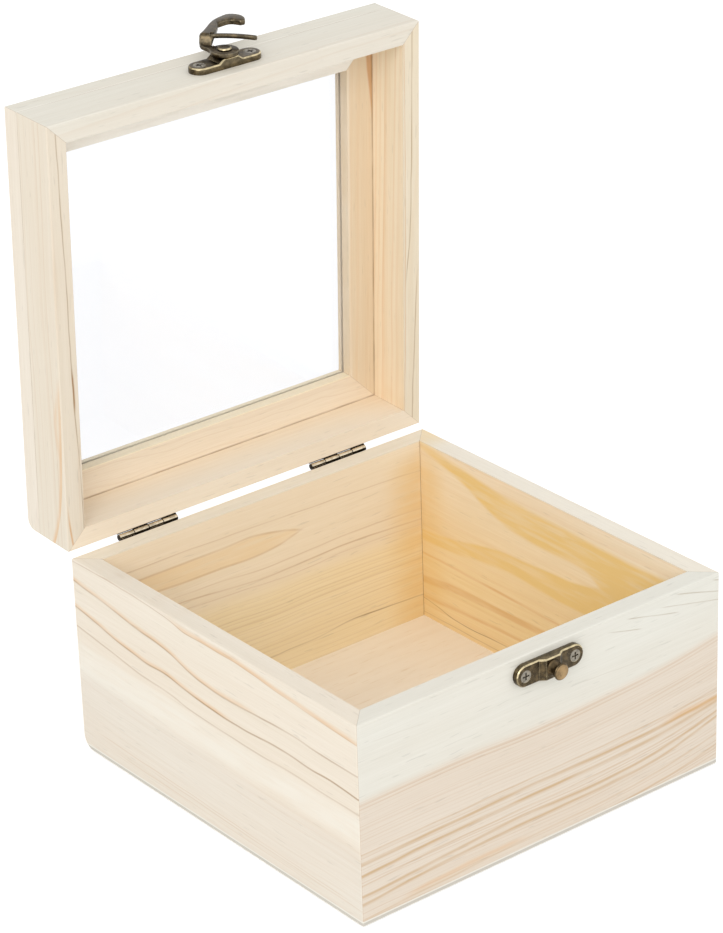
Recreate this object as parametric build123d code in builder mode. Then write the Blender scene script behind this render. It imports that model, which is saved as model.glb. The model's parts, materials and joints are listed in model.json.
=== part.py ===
from build123d import *
from math import cos, radians, sin, sqrt
import os

# A square pine display case for small enamel pins: mitred base box, hinged lid with a glass
# window, two small stop hinges at the back and a swing-hook latch at the front.
#
# X runs along the front face, Y runs to the back, Z is up, and the origin is the centre of the
# base's underside. The lid stands open on its hinge stops and the hook is swung clear.

# ---------------------------------------------------------------- case
case_width = 150.0
case_depth = 149.4
base_height = 70.8
lid_height = 23.5
base_wall = 7.2
lid_wall = 7.0
bottom_thickness = 2.0
rim_gap = 0.3               # between the closed lid's rim and the base's rim
trim_margin = 1.0           # the blanks stand this far out of the eased form that trims them
lid_open_angle = 88.0

arris = 0.5                 # sanded edges
base_back_round = 5.0       # the heavier rounding along the base's lower back edge
lid_back_round = 3.5        # and along the lid's upper back edge

# ---------------------------------------------------------------- window
top_frame_thickness = 7.0
top_frame_width = 18.0
glass_thickness = 1.5
glass_outer_lip = 1.7       # wood between the glass and the lid's outer face
groove_depth = 4.0
groove_play = 0.1           # on each side of the glass
glass_edge_play = 0.4       # round the glass, inside its groove

# ---------------------------------------------------------------- hinges
hinge_centres = (-43.0, 38.0)
hinge_length = 23.8
knuckle_count = 4
knuckle_gap = 0.15
barrel_radius = 1.1
barrel_to_wood = 0.3
leaf_thickness = 0.5
leaf_height = 10.0
leaf_arris = 0.25
pin_radius = 0.55
pin_play = 0.05
stop_lug_reach = 1.5
stop_lug_gap = 0.08
hinge_screw_pitch = 15.0
hinge_screw_drop = 6.4      # from the hinge axis to the screws

# ---------------------------------------------------------------- screws
small_head_radius = 1.4
small_shank_radius = 0.9
small_screw_length = 6.0
large_head_radius = 2.1
large_shank_radius = 1.15
large_screw_length = 7.4
screw_play = 0.03           # radial, in wood and in metal alike
recess_share = 0.62         # width of the cross recess against the head
slot_width = 0.5
slot_depth = 0.55

# ---------------------------------------------------------------- latch
latch_x = 0.5
plate_length = 27.6
plate_width = 7.6
plate_thickness = 2.2
plate_bevel = 0.4
boss_height = 3.6
boss_top_length = 5.6
boss_foot_length = 9.4
plate_screw_pitch = 20.4
pivot_above_rim = 8.5
catch_below_rim = 6.2
rivet_radius = 1.5
rivet_head_radius = 2.35
rivet_head_height = 0.75
rivet_play = 0.08
washer_gap = 0.2            # between the plate's boss and the hook's disc
disc_radius = 4.75
disc_thickness = 1.4
arm_lift = 2.6              # the hook's arm stands this much further out than its disc
arm_thickness = 2.0
ramp_start = 2.5            # along the arm, from the pivot
ramp_end = 6.2
hook_edge = 0.35
arm_reach = 8.8             # the arm's outer edge, out from the line through pivot and peg
beak_drop = 6.4             # how far the beak's outer edge lies below the mouth
beak_tip = 3.9
beak_tip_drop = 0.8
bar_reach = 9.3             # the finger bar's end
bar_drop = 4.7              # its ends lie this far along the arm from the pivot
bar_bow = 1.1
bar_width = 1.5
bar_thickness = 1.45
peg_radius = 2.9            # at both ends of the spool-shaped peg
peg_waist_radius = 2.4
peg_height = 7.6            # from the wall to its end
peg_edge = 0.4
peg_stem_radius = 1.5
mouth_play = 1.0            # round the peg, inside the hook's mouth
hook_rest_swing = 135.0     # from latched to the position in which it stands here

# ---------------------------------------------------------------- derived places
half_width = case_width / 2
half_depth = case_depth / 2
axis_out = barrel_radius + barrel_to_wood
axis_y = half_depth + axis_out
axis_z = base_height + rim_gap / 2
open_cos = cos(radians(lid_open_angle))
open_sin = sin(radians(lid_open_angle))
rail_height = lid_height - top_frame_thickness
glass_level = lid_height - glass_outer_lip - groove_play - glass_thickness
catch_distance = pivot_above_rim + rim_gap + catch_below_rim

# The lid's frame: its origin is the centre of the lid's rim, with X along the front, Y to the
# hinges and Z to the glass. It is turned about the hinge axis by the opening angle.
lid_y = Vector(0, open_cos, -open_sin)
lid_z = Vector(0, open_sin, open_cos)
axis_point = Vector(0, axis_y, axis_z)
rim_origin = axis_point - lid_y * axis_y + lid_z * (rim_gap / 2)
lid_frame = Plane(origin=rim_origin, x_dir=(1, 0, 0), z_dir=lid_z)
base_frame = Plane.XY


def face_plane(frame, x, y, z, outward):
    """A plane on a front (-1) or back (+1) face: its Y runs up the wall and its Z points out."""
    normal = frame.y_dir * outward
    return Plane(origin=frame.from_local_coords(Vector(x, y, z)),
                 x_dir=frame.z_dir.cross(normal), z_dir=normal)


lid_front = face_plane(lid_frame, latch_x, -half_depth, pivot_above_rim, -1)
base_front = face_plane(base_frame, latch_x, -half_depth, base_height - catch_below_rim, -1)
hinge_sections = {
    "base": Plane(origin=axis_point, x_dir=(0, 1, 0), z_dir=(1, 0, 0)),
    "lid": Plane(origin=axis_point, x_dir=lid_y, z_dir=(1, 0, 0)),
}
base_hinge_faces = [face_plane(base_frame, x, half_depth, axis_z - hinge_screw_drop, 1)
                    for x in hinge_centres]
lid_hinge_faces = [face_plane(lid_frame, x, half_depth, hinge_screw_drop - rim_gap / 2, 1)
                   for x in hinge_centres]


def outward(face):
    """The axis out of a face plane, for picking its outermost edges."""
    return Axis(face.origin, face.z_dir)


def save(builder, label):
    builder.part.label = label
    export_step(builder.part, f"parts/{label}.step")


def sanded_block(frame, height, rounded_height, round_radius):
    """The whole outer form of the base or the lid, with every outer edge eased."""
    with BuildPart(frame) as block:
        Box(case_width, case_depth, height, align=(Align.CENTER, Align.CENTER, Align.MIN))
        edge_point = frame.from_local_coords(Vector(0, half_depth, rounded_height))
        heavy_edge = block.edges().sort_by_distance(edge_point)[0]
        fillet(heavy_edge, radius=round_radius)
        fillet(block.edges().filter_by(GeomType.LINE), radius=arris)
    return block.part


def board_outline(side, inset):
    """One of four mitred sides, counted from the front and on round the case."""
    w, d = half_width + trim_margin, half_depth + trim_margin
    corners = [(-w, -d), (w, -d), (w, d), (-w, d)]
    w, d = half_width - inset, half_depth - inset
    inner = [(-w, -d), (w, -d), (w, d), (-w, d)]
    following = (side + 1) % 4
    Polygon(corners[side], corners[following], inner[following], inner[side], align=None)


def screw_holes(faces, pitch, radius, depth):
    """Pilot holes for pairs of screws, bored inward from each hardware face."""
    for face in faces:
        with Locations(face):
            with GridLocations(pitch, 1, 2, 1):
                Hole(radius + screw_play, depth)


def mitred_board(frame, side, inset, bottom, top, form, holes=None):
    """A mitred wall or frame member between two levels, trimmed to the eased outer form."""
    with BuildPart() as board:
        with BuildSketch(frame.offset(bottom)):
            board_outline(side, inset)
        extrude(amount=top - bottom)
        add(form, mode=Mode.INTERSECT)
        if holes:
            screw_holes(*holes)
    return board


side_names = ("front", "right", "back", "left")
latch_pilot = large_screw_length - plate_thickness + 0.4
hinge_pilot = small_screw_length - leaf_thickness + 0.4
base_holes = {
    "front": ([base_front], plate_screw_pitch, large_shank_radius, latch_pilot),
    "back": (base_hinge_faces, hinge_screw_pitch, small_shank_radius, hinge_pilot),
}
lid_holes = {
    "front": ([lid_front], plate_screw_pitch, large_shank_radius, latch_pilot),
    "back": (lid_hinge_faces, hinge_screw_pitch, small_shank_radius, hinge_pilot),
}


def make_base():
    """Four mitred walls standing on a thin plywood bottom."""
    form = sanded_block(base_frame, base_height, 0, base_back_round)
    for side, name in enumerate(side_names):
        wall = mitred_board(base_frame, side, base_wall, bottom_thickness,
                            base_height + trim_margin, form, base_holes.get(name))
        save(wall, f"base_{name}_wall")
    with BuildPart() as bottom:
        with BuildSketch(base_frame.offset(bottom_thickness)):
            Rectangle(case_width + 2 * trim_margin, case_depth + 2 * trim_margin)
        extrude(amount=-bottom_thickness - trim_margin)
        add(form, mode=Mode.INTERSECT)
    save(bottom, "base_bottom_panel")


def make_lid():
    """Four mitred rails, a mitred window frame glued on top of them, and the glass."""
    form = sanded_block(lid_frame, lid_height, lid_height, lid_back_round)
    for side, name in enumerate(side_names):
        rail = mitred_board(lid_frame, side, lid_wall, -trim_margin, rail_height, form,
                            lid_holes.get(name))
        save(rail, f"lid_{name}_rail")

    window_width = case_width - 2 * top_frame_width
    window_depth = case_depth - 2 * top_frame_width
    for side, name in enumerate(side_names):
        with BuildPart() as member:
            with BuildSketch(lid_frame.offset(rail_height)):
                board_outline(side, top_frame_width)
            extrude(amount=top_frame_thickness + trim_margin)
            add(form, mode=Mode.INTERSECT)
            with BuildSketch(lid_frame.offset(glass_level - groove_play)):
                Rectangle(window_width + 2 * groove_depth, window_depth + 2 * groove_depth)
            extrude(amount=glass_thickness + 2 * groove_play, mode=Mode.SUBTRACT)
        save(member, f"window_frame_{name}")

    glass_reach = groove_depth - glass_edge_play
    with BuildPart() as glass:
        with BuildSketch(lid_frame.offset(glass_level)):
            Rectangle(window_width + 2 * glass_reach, window_depth + 2 * glass_reach)
        extrude(amount=glass_thickness)
    save(glass, "window_glass")


def countersunk_screw(head_radius, shank_radius, length):
    """A cross-head wood screw along -Z, its head's face at Z = 0."""
    head_depth = head_radius - shank_radius
    point = shank_radius * 1.6
    with BuildPart() as screw:
        with BuildSketch(Plane.XZ):
            with BuildLine():
                Polyline((0, 0), (head_radius, 0), (shank_radius, -head_depth),
                         (shank_radius, point - length), (0.2 * shank_radius, -length),
                         (0, -length), close=True)
            make_face()
        revolve(axis=Axis.Z)
        with BuildSketch(Plane.XY.offset(-slot_depth)):
            Rectangle(2 * head_radius * recess_share, slot_width)
            Rectangle(slot_width, 2 * head_radius * recess_share)
        extrude(amount=slot_depth, mode=Mode.SUBTRACT)
    return screw.part


def screw_group(label, faces, pitch, height, screw):
    """Pairs of screws whose heads lie flush with hardware of the given height."""
    with BuildPart() as group:
        for face in faces:
            with Locations(face.offset(height)):
                with GridLocations(pitch, 1, 2, 1):
                    add(screw)
    save(group, label)


def countersinks(face, height, pitch, head_radius, shank_radius):
    """Countersunk holes through hardware, fitting the screws above."""
    with Locations(face.offset(height)):
        with GridLocations(pitch, 1, 2, 1):
            CounterSinkHole(shank_radius + screw_play, head_radius + screw_play,
                            counter_sink_angle=90)


def hinge_leaf(section, face, centre, up, knuckles, lugs):
    """A leaf flat on its wall, with its share of the knuckles round the pin.

    up is +1 for the leaf on the lid and -1 for the one on the base. In the section plane, X
    points away from the wall and Y points up it.
    """
    knuckle_pitch = hinge_length / knuckle_count
    leaf_x = -axis_out + leaf_thickness / 2
    clear = sqrt(barrel_radius ** 2 - (axis_out - leaf_thickness) ** 2) + knuckle_gap
    with BuildPart() as leaf:
        with BuildSketch(section.offset(centre)):
            with Locations((leaf_x, up * (leaf_height + clear) / 2)):
                Rectangle(leaf_thickness, leaf_height - clear)
        extrude(amount=hinge_length / 2, both=True)
        outer_corners = leaf.edges().filter_by(lambda edge: abs(edge.length - leaf_thickness) < 1e-3)
        fillet(outer_corners, radius=leaf_arris)
        for knuckle in knuckles:
            middle = centre + (knuckle - (knuckle_count - 1) / 2) * knuckle_pitch
            with BuildSketch(section.offset(middle)):
                Circle(barrel_radius)
                with Locations((leaf_x, up * leaf_height / 4)):
                    Rectangle(leaf_thickness, leaf_height / 2)
                Circle(pin_radius + pin_play, mode=Mode.SUBTRACT)
            extrude(amount=(knuckle_pitch - knuckle_gap) / 2, both=True)
        for knuckle in lugs:
            middle = centre + (knuckle - (knuckle_count - 1) / 2) * knuckle_pitch
            with BuildSketch(hinge_sections["base"].offset(middle)):
                lug_front = -axis_out + leaf_thickness + stop_lug_gap
                lug_back = -pin_radius - 2 * pin_play
                lug_foot = -barrel_radius - stop_lug_reach
                with BuildLine():
                    Polyline((lug_front, -pin_radius), (lug_front, lug_foot),
                             (lug_back + leaf_thickness, lug_foot),
                             (pin_radius, -barrel_radius + leaf_thickness / 2),
                             (pin_radius, -pin_radius - pin_play), close=True)
                make_face()
                Circle(pin_radius + pin_play, mode=Mode.SUBTRACT)
            extrude(amount=(knuckle_pitch - knuckle_gap) / 2, both=True)
        countersinks(face, leaf_thickness, hinge_screw_pitch, small_head_radius,
                     small_shank_radius)
    return leaf


def make_hinges():
    """Two small stop hinges, screwed to the outside of the back walls."""
    for name, centre, base_face, lid_face in zip(("left", "right"), hinge_centres,
                                                 base_hinge_faces, lid_hinge_faces):
        base_leaf = hinge_leaf(hinge_sections["base"], base_face, centre, -1, (0, 2), ())
        save(base_leaf, f"hinge_{name}_base_leaf")
        lid_leaf = hinge_leaf(hinge_sections["lid"], lid_face, centre, 1, (1, 3), (1, 3))
        save(lid_leaf, f"hinge_{name}_lid_leaf")
        with BuildPart() as pin:
            with BuildSketch(hinge_sections["base"].offset(centre)):
                Circle(pin_radius)
            extrude(amount=hinge_length / 2, both=True)
            chamfer(pin.edges().filter_by(GeomType.CIRCLE), length=pin_radius / 4)
        save(pin, f"hinge_{name}_pin")
    screw = countersunk_screw(small_head_radius, small_shank_radius, small_screw_length)
    screw_group("hinge_base_screws", base_hinge_faces, hinge_screw_pitch, leaf_thickness, screw)
    screw_group("hinge_lid_screws", lid_hinge_faces, hinge_screw_pitch, leaf_thickness, screw)


def latch_plate(face, bore_radius):
    """A long round-ended plate, raised in the middle where the rivet or the peg stands."""
    with BuildPart() as plate:
        with BuildSketch(face):
            SlotOverall(plate_length, plate_width)
        extrude(amount=boss_height)
        profile_plane = Plane(origin=face.origin, x_dir=face.x_dir, z_dir=-face.y_dir)
        with BuildSketch(profile_plane):
            half = plate_length / 2
            with BuildLine():
                Polyline((-half, 0), (half, 0), (half, plate_thickness),
                         (boss_foot_length / 2, plate_thickness),
                         (boss_top_length / 2, boss_height),
                         (-boss_top_length / 2, boss_height),
                         (-boss_foot_length / 2, plate_thickness),
                         (-half, plate_thickness), close=True)
            make_face()
        extrude(amount=plate_width / 2, both=True, mode=Mode.INTERSECT)
        upper = plate.edges().filter_by(
            lambda edge: face.to_local_coords(edge.center()).Z > plate_thickness - 0.01
            and abs(face.to_local_coords(edge.center()).Y) > plate_width / 8)
        chamfer(upper, length=plate_bevel)
        with Locations(face):
            Cylinder(bore_radius, boss_height, align=(Align.CENTER, Align.CENTER, Align.MIN),
                     mode=Mode.SUBTRACT)
        countersinks(face, plate_thickness, plate_screw_pitch, large_head_radius,
                     large_shank_radius)
    return plate


def make_hook(face):
    """The swing hook: a disc on the rivet, and a cranked arm with a beak and a finger bar.

    It is drawn latched, with its arm down along -Y and its mouth open to -X, on a plane that is
    turned by the angle through which it is swung back.
    """
    swing = radians(hook_rest_swing)
    turned = Plane(origin=face.origin, z_dir=face.z_dir,
                   x_dir=face.x_dir * cos(swing) + face.y_dir * sin(swing))
    disc_level = boss_height + washer_gap
    arm_level = disc_level + arm_lift
    arm_top = arm_level + arm_thickness
    mouth_back = peg_radius + mouth_play
    floor = -(catch_distance + mouth_back)
    beak_end = (-beak_tip, floor - beak_tip_drop)
    throat = (mouth_back, -bar_drop - 2 * bar_width)
    notch = (disc_radius + 0.1, -bar_drop + bar_width)
    with BuildPart() as hook:
        with BuildSketch(turned.offset(disc_level)):
            with BuildLine():
                outer = Spline((0, disc_radius), (0.6 * arm_reach, 0.1), (arm_reach, -4.0),
                               (0.96 * arm_reach, -7.4), (0.86 * arm_reach, floor + 6.0),
                               (0.70 * arm_reach, floor - 0.6), (0.47 * arm_reach, floor - 4.2),
                               (1.0, floor - beak_drop),
                               tangents=[(1, 0), (-1, 0)])
                TangentArc(outer @ 1, beak_end, tangent=outer % 1)
                Line(beak_end, (1.3 - beak_tip, floor + 0.1))
                Spline((1.3 - beak_tip, floor + 0.1), (1.2, floor - 0.5),
                       (mouth_back - 0.2, floor + 2.2), throat, tangents=[(1, -0.4), (0, 1)])
                Polyline(throat, notch, (0, 0), outer @ 0)
            make_face()
        extrude(amount=arm_lift + arm_thickness)
        chamfer(hook.faces().sort_by(outward(face))[-1].edges(), length=hook_edge)
        crank_plane = Plane(origin=turned.origin, x_dir=turned.y_dir, z_dir=turned.x_dir)
        reach = 2 * catch_distance
        with BuildSketch(crank_plane):
            with BuildLine():
                disc_top = disc_level + disc_thickness
                Spline((-ramp_start, disc_level), (-ramp_end, arm_level),
                       tangents=[(-1, 0), (-1, 0)])
                Polyline((-ramp_end, arm_level), (-reach, arm_level), (-reach, arm_top),
                         (-ramp_end, arm_top))
                Spline((-ramp_end, arm_top), (-ramp_start, disc_top), tangents=[(1, 0), (1, 0)])
                Polyline((-ramp_start, disc_top), (disc_radius + 1, disc_top),
                         (disc_radius + 1, disc_level), (-ramp_start, disc_level))
            make_face()
        extrude(amount=2 * arm_reach, both=True, mode=Mode.INTERSECT)
        with BuildSketch(turned.offset(arm_top - bar_thickness)):
            with BuildLine():
                bar = ThreePointArc((mouth_back + bar_width / 2, -bar_drop - bar_bow / 2),
                                    ((mouth_back - bar_reach) / 2, -bar_drop - bar_bow),
                                    (-bar_reach, -bar_drop))
            SlotArc(bar, bar_width)
        extrude(amount=bar_thickness)
        with BuildSketch(turned.offset(disc_level)):
            Circle(disc_radius)
        extrude(amount=disc_thickness)
        with Locations(turned):
            Cylinder(rivet_radius + rivet_play, 3 * boss_height, mode=Mode.SUBTRACT)
    return hook


def make_latch():
    """The hook and its plate on the lid, and the peg and its plate on the base."""
    save(latch_plate(lid_front, rivet_radius), "hook_plate")
    save(make_hook(lid_front), "swing_hook")
    head_level = boss_height + washer_gap + disc_thickness + rivet_play
    with BuildPart() as rivet:
        with BuildSketch(lid_front):
            Circle(rivet_radius)
        extrude(amount=head_level)
        with BuildSketch(lid_front.offset(head_level)):
            Circle(rivet_head_radius)
        extrude(amount=rivet_head_height)
        rim = rivet.edges().filter_by(GeomType.CIRCLE).sort_by(outward(lid_front))[-1]
        fillet(rim, radius=rivet_head_height * 0.8)
    save(rivet, "hook_rivet")

    save(latch_plate(base_front, peg_stem_radius), "catch_plate")
    with BuildPart() as peg:
        with BuildSketch(Plane(origin=base_front.origin, x_dir=base_front.x_dir,
                               z_dir=-base_front.y_dir)):
            with BuildLine():
                Polyline((0, peg_height), (0, 0), (peg_stem_radius, 0),
                         (peg_stem_radius, boss_height), (peg_radius, boss_height))
                ThreePointArc((peg_radius, boss_height),
                              (peg_waist_radius, (boss_height + peg_height) / 2),
                              (peg_radius, peg_height - peg_edge))
                Polyline((peg_radius, peg_height - peg_edge), (peg_radius - peg_edge, peg_height),
                         (0, peg_height))
            make_face()
        revolve(axis=outward(base_front))
    save(peg, "catch_peg")

    screw = countersunk_screw(large_head_radius, large_shank_radius, large_screw_length)
    screw_group("hook_plate_screws", [lid_front], plate_screw_pitch, plate_thickness, screw)
    screw_group("catch_plate_screws", [base_front], plate_screw_pitch, plate_thickness, screw)


os.makedirs("parts", exist_ok=True)
make_base()
make_lid()
make_hinges()
make_latch()
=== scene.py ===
"""Finishes a square pine display case: sanded pine boards, a plywood bottom, a glass window and
antique bronze hardware, on a plain white studio floor."""

import json
import math

import bpy
from mathutils import Matrix, Vector


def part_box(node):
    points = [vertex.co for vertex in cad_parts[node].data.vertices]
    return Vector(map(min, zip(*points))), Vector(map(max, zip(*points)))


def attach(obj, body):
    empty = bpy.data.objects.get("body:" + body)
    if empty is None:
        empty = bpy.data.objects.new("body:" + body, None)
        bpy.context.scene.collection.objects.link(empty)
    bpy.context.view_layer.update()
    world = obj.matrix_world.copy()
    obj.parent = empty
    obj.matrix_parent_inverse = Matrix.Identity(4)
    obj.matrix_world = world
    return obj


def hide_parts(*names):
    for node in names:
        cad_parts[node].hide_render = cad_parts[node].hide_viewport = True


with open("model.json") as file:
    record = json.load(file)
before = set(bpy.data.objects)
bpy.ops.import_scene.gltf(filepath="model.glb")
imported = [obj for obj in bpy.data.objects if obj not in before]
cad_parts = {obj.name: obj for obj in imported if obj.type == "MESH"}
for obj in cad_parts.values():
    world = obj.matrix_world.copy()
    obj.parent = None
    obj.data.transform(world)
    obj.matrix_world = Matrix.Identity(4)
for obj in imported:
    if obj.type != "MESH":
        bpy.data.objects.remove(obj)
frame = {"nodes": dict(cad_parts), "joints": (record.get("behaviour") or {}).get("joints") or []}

bl_info = {
    "name": "Pine Pin Display Case",
    "version": (1, 0, 0),
    "blender": (4, 5, 0),
    "location": "3D View > Sidebar > Display Case",
    "description": "Finishes the boards, glass and hardware of a hinged pine display case",
    "category": "Object",
}

joints = {joint["name"]: joint for joint in frame["joints"]}
lid_joint, hook_joint = joints["lid_hinge"], joints["hook_swing"]
CASE_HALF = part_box("base_bottom_panel")[1].x
RIGHT = Vector((1, 0, 0))
FRONT = Vector((0, -1, 0))
UP = Vector((0, 0, 1))
# The lid stands open, so its boards are laid out on the lid's own directions.
LID_FRONT = -Vector(hook_joint["axis"]).normalized()
LID_TOP = LID_FRONT.cross(RIGHT).normalized()


# ---------------------------------------------------------------- settings
def colour_setting(name, description, default):
    return bpy.props.FloatVectorProperty(
        name=name, description=description, default=default, size=3, min=0, max=1,
        subtype="COLOR_GAMMA")


def length_setting(name, description, default):
    return bpy.props.FloatProperty(
        name=name, description=description, default=default, min=0, subtype="DISTANCE",
        unit="LENGTH", precision=5)


def share_setting(name, description, default, top=1.0):
    return bpy.props.FloatProperty(
        name=name, description=description, default=default, min=0, max=top, subtype="FACTOR")


def power_setting(name, description, default):
    return bpy.props.FloatProperty(
        name=name, description=description, default=default, min=0, subtype="POWER", unit="POWER")


def angle_setting(name, description, default):
    return bpy.props.FloatProperty(
        name=name, description=description, default=default, subtype="ANGLE", unit="ROTATION")


class PineSettings(bpy.types.PropertyGroup):
    rim: colour_setting("Rim", "Freshly sanded rim of the base", (0.950, 0.925, 0.870))
    seam: colour_setting("Mitre seam", "Hairline where two boards meet", (0.62, 0.50, 0.36))
    fibre: share_setting("Fibre", "Strength of the fine fibres along the grain", 0.3)
    mottle: share_setting("Mottle", "Broad light and dark areas along a board", 0.4)
    seam_width: length_setting("Seam width", "Width of the mitre hairlines", 0.00035)
    bump: share_setting("Relief", "How far the grain stands proud after sanding", 0.25)


class PlywoodSettings(bpy.types.PropertyGroup):
    face: colour_setting("Veneer", "Outer veneer of the bottom panel", (0.982, 0.941, 0.879))
    fleck: colour_setting("Fleck", "Short pores in the veneer", (0.90, 0.82, 0.71))
    edge: colour_setting("Edge", "Sanded edge of the outer plies", (0.93, 0.915, 0.875))
    core: colour_setting("Core", "Sanded edge of the inner ply", (0.79, 0.77, 0.73))


class BronzeSettings(bpy.types.PropertyGroup):
    dark: colour_setting("Patina", "Aged bronze in its hollows and flats", (0.27, 0.235, 0.18))
    warm: colour_setting("Bronze", "Warmer bronze in the patina", (0.45, 0.385, 0.28))
    # Rubbed brass and Wear also make the painted highlights on the metal's lit edges.
    brass: colour_setting("Rubbed brass", "Bright metal on the rubbed edges", (0.96, 0.89, 0.72))
    wear: share_setting("Wear", "How far the edges are rubbed bright", 0.8)
    edge: length_setting("Edge rounding", "Rounding of the hook's edges", 0.00035)


class GlassSettings(bpy.types.PropertyGroup):
    tint: colour_setting("Tint", "Colour of the clear glass", (0.945, 0.952, 0.965))


class StageSettings(bpy.types.PropertyGroup):
    floor_size: length_setting("Floor", "Width of the studio floor", 8.0)
    floor_glow: share_setting("Floor glow", "Keeps the floor white around the shadow", 0.36)
    world_light: share_setting("Surrounding light", "Brightness of the even light around", 0.80, 2)
    key_light: power_setting("Key light", "Power of the large lamp at the left", 17)
    fill_light: power_setting("Fill light", "Power of the lamp at the front right", 1.5)


class CameraSettings(bpy.types.PropertyGroup):
    target: bpy.props.FloatVectorProperty(
        name="Target", description="Point the camera looks at", size=3,
        default=(-0.01124242, 0, 0.10995054), subtype="TRANSLATION", unit="LENGTH")
    distance: length_setting("Distance", "From the target to the camera", 1.12482588)
    azimuth: angle_setting("Azimuth", "Turn from straight in front", -0.66383)
    elevation: angle_setting("Elevation", "Height angle above the floor", 0.44362)
    roll: angle_setting("Roll", "Tilt about the line of sight", -0.03339)
    lens: bpy.props.FloatProperty(
        name="Focal length", description="On a 36 mm sensor", default=136.306, min=1)


# ---------------------------------------------------------------- node helpers
def linear(colour):
    """A written colour as the light level that the shader works with."""
    return tuple(c / 12.92 if c <= 0.04045 else ((c + 0.055) / 1.055) ** 2.4
                 for c in colour) + (1.0,)


class Flow:
    """A number, vector or colour on its way through a node tree, so that sums read as sums."""

    def __init__(self, socket):
        self.socket = socket
        self.tree = socket.id_data

    def __add__(self, other):
        return maths("ADD", self, other)

    def __sub__(self, other):
        return maths("SUBTRACT", self, other)

    def __rsub__(self, other):
        return maths("SUBTRACT", other, self)

    def __mul__(self, other):
        if is_vector(self) == is_vector(other):
            return maths("MULTIPLY", self, other)
        return scaled(self, other) if is_vector(self) else scaled(other, self)

    def __truediv__(self, other):
        return maths("DIVIDE", self, other)

    def __rtruediv__(self, other):
        return maths("DIVIDE", other, self)

    def clamped(self):
        """Keeps the last sum between nothing and one."""
        self.socket.node.use_clamp = True
        return self


def is_vector(value):
    if isinstance(value, Flow):
        return value.socket.type in ("VECTOR", "RGBA")
    return isinstance(value, (tuple, Vector))


def feed(value, socket):
    if isinstance(value, Flow):
        value.tree.links.new(value.socket, socket)
    else:
        socket.default_value = value


def maths(operation, *values):
    """One step of a sum, in numbers or in vectors as the values are."""
    tree = next(value.tree for value in values if isinstance(value, Flow))
    vectors = any(is_vector(value) for value in values)
    node = tree.nodes.new("ShaderNodeVectorMath" if vectors else "ShaderNodeMath")
    node.operation = operation
    for value, socket in zip(values, node.inputs):
        feed(value, socket)
    return Flow(node.outputs["Value" if operation in ("LENGTH", "DOT_PRODUCT") else 0])


def scaled(vector, amount):
    tree = (vector if isinstance(vector, Flow) else amount).tree
    node = tree.nodes.new("ShaderNodeVectorMath")
    node.operation = "SCALE"
    feed(vector, node.inputs[0])
    feed(amount, node.inputs["Scale"])
    return Flow(node.outputs["Vector"])


def flows(sockets):
    return {socket.name: Flow(socket) for socket in sockets}


def split_vector(vector):
    node = vector.tree.nodes.new("ShaderNodeSeparateXYZ")
    feed(vector, node.inputs[0])
    return flows(node.outputs)


def step_between(value, start, end, low=0.0, high=1.0):
    node = value.tree.nodes.new("ShaderNodeMapRange")
    node.interpolation_type = "SMOOTHSTEP"
    for name, given in (("Value", value), ("From Min", start), ("From Max", end),
                        ("To Min", low), ("To Max", high)):
        feed(given, node.inputs[name])
    return Flow(node.outputs["Result"])


def blend_colours(amount, first, second):
    node = amount.tree.nodes.new("ShaderNodeMix")
    node.data_type = "RGBA"
    feed(amount, node.inputs["Factor"])
    for value, name in ((first, "A"), (second, "B")):
        feed(value, next(s for s in node.inputs if s.name == name and s.type == "RGBA"))
    return Flow(next(s for s in node.outputs if s.type == "RGBA"))


def noise(vector, stretch, detail=2.0, roughness=0.5, output="Fac"):
    node = vector.tree.nodes.new("ShaderNodeTexNoise")
    node.inputs["Scale"].default_value = 1.0
    node.inputs["Detail"].default_value = detail
    node.inputs["Roughness"].default_value = roughness
    feed(vector * stretch, node.inputs["Vector"])
    return Flow(node.outputs[output])


VECTOR = "NodeSocketVector"
COLOUR = "NodeSocketColor"
NUMBER = "NodeSocketFloat"


def socket_name(key):
    return key.replace("_", " ").capitalize()


def effect_group(name, inputs, outputs):
    """An empty shader node group: what it is given, and the sockets for its results.

    Each socket is VECTOR, COLOUR or a number, which is then its default.
    """
    tree = bpy.data.node_groups.new(name, "ShaderNodeTree")
    for side, sockets in (("INPUT", inputs), ("OUTPUT", outputs)):
        for key, kind in sockets.items():
            plain = kind in (VECTOR, COLOUR)
            socket = tree.interface.new_socket(socket_name(key), in_out=side,
                                               socket_type=kind if plain else NUMBER)
            if not plain:
                socket.default_value = kind
    return (flows(tree.nodes.new("NodeGroupInput").outputs),
            tree.nodes.new("NodeGroupOutput").inputs)


def place_effect(tree, name, **values):
    """Places an effect group in a material, with its inputs' values."""
    node = tree.nodes.new("ShaderNodeGroup")
    node.node_tree = bpy.data.node_groups[name]
    for key, value in values.items():
        feed(value, node.inputs[socket_name(key)])
    return flows(node.outputs)


# ---------------------------------------------------------------- shared effects
RIM_BEGINS = 0.0006         # below a sanded rim's level, where its colour begins and is full
RIM_FULL = 0.0001
WINTER = 0.93               # the part of a year's ring at which its late wood is darkest
BAND_WANDER = 0.0008        # how far a growth band strays from its path
BAND_CLEARS_RIM = 0.012     # how far under a sanded rim a growth band fades out


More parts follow.
